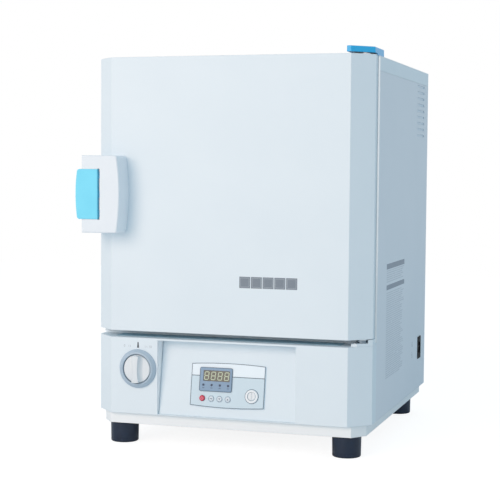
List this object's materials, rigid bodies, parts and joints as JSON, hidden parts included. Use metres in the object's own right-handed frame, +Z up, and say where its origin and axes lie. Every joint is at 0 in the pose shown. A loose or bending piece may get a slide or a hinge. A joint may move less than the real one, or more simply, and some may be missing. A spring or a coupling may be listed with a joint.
{
  "type": "drying oven",
  "caption": "Bench-top laboratory drying oven with a chamfered hinged door, latch paddle, wire shelves, sloping control panel, air damper knob and rear exhaust.",
  "frame": {"origin": "middle of the overall footprint, on the plane that the feet stand on", "axes": "+X to the right as seen from the front, +Y to the back, +Z up; the door faces -Y"},
  "size_m": [0.4118, 0.4736, 0.557],
  "materials": {
    "painted_white": "smooth powder coat",
    "painted_side": "smooth powder coat",
    "frame_paint": "smooth powder coat",
    "galvanised": "satin zinc",
    "chamber_steel": "satin stainless",
    "shelf_wire": "bright",
    "heater_sheath": "heat-dulled stainless",
    "plain_steel": "bright zinc",
    "bush_acetal": "satin acetal",
    "heat_sink": "satin",
    "mineral_wool": "matt",
    "seal_rubber": "matt silicone",
    "foot_rubber": "matt",
    "white_moulding": "fine satin",
    "grey_blue_moulding": "satin",
    "blue_moulding": "semi-gloss",
    "pale_blue_moulding": "semi-gloss",
    "panel_plastic": "satin",
    "bezel_plastic": "semi-gloss",
    "display_glass": "tinted",
    "lamp_plastic": "clear tinted",
    "red_key": "semi-gloss",
    "blue_key": "semi-gloss",
    "black_plastic": "satin",
    "board": "satin"
  },
  "bodies": {
    "cabinet": {"base_tray": "frame_paint", "foot_front_left": "foot_rubber", "foot_front_right": "foot_rubber", "foot_rear_left": "foot_rubber", "foot_rear_right": "foot_rubber", "side_panel_right": "painted_side", "side_panel_left": "painted_side", "top_cover": "painted_side", "rear_cover": "galvanised", "front_frame": "frame_paint", "control_fascia": "painted_white", "control_recess": "frame_paint", "control_plate": "panel_plastic", "display_bezel": "bezel_plastic", "display_window": "display_glass", "indicator_lamps": "lamp_plastic", "control_board": "board", "relay_module": "heat_sink", "knob_bezel": "grey_blue_moulding", "intake_duct": "galvanised", "breaker_body": "black_plastic", "power_gland": "black_plastic", "chamber": "chamber_steel", "insulation": "mineral_wool", "divider_plate": "galvanised", "shelf_rails": "chamber_steel", "shelf_lower": "shelf_wire", "shelf_upper": "shelf_wire", "floor_plate": "chamber_steel", "heater": "heater_sheath", "temperature_probe": "plain_steel", "exhaust_pipe": "chamber_steel", "hinge_cap": "blue_moulding", "upper_hinge_bracket": "plain_steel", "lower_hinge_bracket": "frame_paint", "hinge_pins": "plain_steel", "hinge_washers": "bush_acetal", "screws": "plain_steel", "latch_keeper": "plain_steel"},
    "door": {"door_outer_panel": "painted_white", "door_inner_panel": "chamber_steel", "door_insulation": "mineral_wool", "door_gasket": "seal_rubber", "hinge_bushes": "bush_acetal", "handle_housing": "white_moulding", "paddle_pin": "plain_steel", "latch_case": "plain_steel", "latch_pin": "plain_steel"},
    "paddle": {"release_paddle": "pale_blue_moulding"},
    "latch": {"latch_lever": "plain_steel"},
    "damper": {"damper_knob": "white_moulding", "damper_shaft": "plain_steel", "damper_shutter": "plain_steel"},
    "dial": {"setting_dial": "white_moulding"},
    "power_button": {"power_button": "red_key"},
    "key_left": {"key_left": "blue_key"},
    "key_middle": {"key_middle": "blue_key"},
    "key_right": {"key_right": "blue_key"},
    "breaker_toggle": {"breaker_lever": "black_plastic"}
  },
  "joints": [
    {"name": "door_hinge", "type": "hinge", "parent": "cabinet", "child": "door", "pos_m": [0.1909, -0.17625, 0.355], "axis": [0, 0, 1], "range_deg": [0, 120]},
    {"name": "paddle_pull", "type": "hinge", "parent": "door", "child": "paddle", "pos_m": [-0.1751, -0.22725, 0.3557], "axis": [0, 0, 1], "range_deg": [0, 15], "stiffness_Nm_per_rad": 0.4, "springref_deg": -11.46},
    {"name": "latch_swing", "type": "hinge", "parent": "door", "child": "latch", "pos_m": [-0.1791, -0.18025, 0.3557], "axis": [0, 0, 1], "range_deg": [-12.5, 0]},
    {"name": "damper_turn", "type": "hinge", "parent": "cabinet", "child": "damper", "pos_m": [-0.1261, -0.20025, 0.11], "axis": [0, 1, 0], "range_deg": [0, 90]},
    {"name": "dial_turn", "type": "hinge", "parent": "cabinet", "child": "dial", "pos_m": [0.03995, -0.19095, 0.07831], "axis": [0, 0.9862, -0.1655], "range_deg": [0, 270]},
    {"name": "power_button_press", "type": "slide", "parent": "cabinet", "child": "power_button", "axis": [0, 0.9862, -0.1655], "range_m": [0, 0.001], "stiffness_N_per_m": 600, "springref_m": -0.001},
    {"name": "key_left_press", "type": "slide", "parent": "cabinet", "child": "key_left", "axis": [0, 0.9862, -0.1655], "range_m": [0, 0.001], "stiffness_N_per_m": 600, "springref_m": -0.001},
    {"name": "key_middle_press", "type": "slide", "parent": "cabinet", "child": "key_middle", "axis": [0, 0.9862, -0.1655], "range_m": [0, 0.001], "stiffness_N_per_m": 600, "springref_m": -0.001},
    {"name": "key_right_press", "type": "slide", "parent": "cabinet", "child": "key_right", "axis": [0, 0.9862, -0.1655], "range_m": [0, 0.001], "stiffness_N_per_m": 600, "springref_m": -0.001},
    {"name": "breaker_throw", "type": "hinge", "parent": "cabinet", "child": "breaker_toggle", "pos_m": [0.1984, 0.17025, 0.11], "axis": [0, 1, 0], "range_deg": [0, 30]}
  ],
  "couplings": [
    {"joint": "latch_swing", "follows": "paddle_pull", "ratio": -0.8}
  ]
}
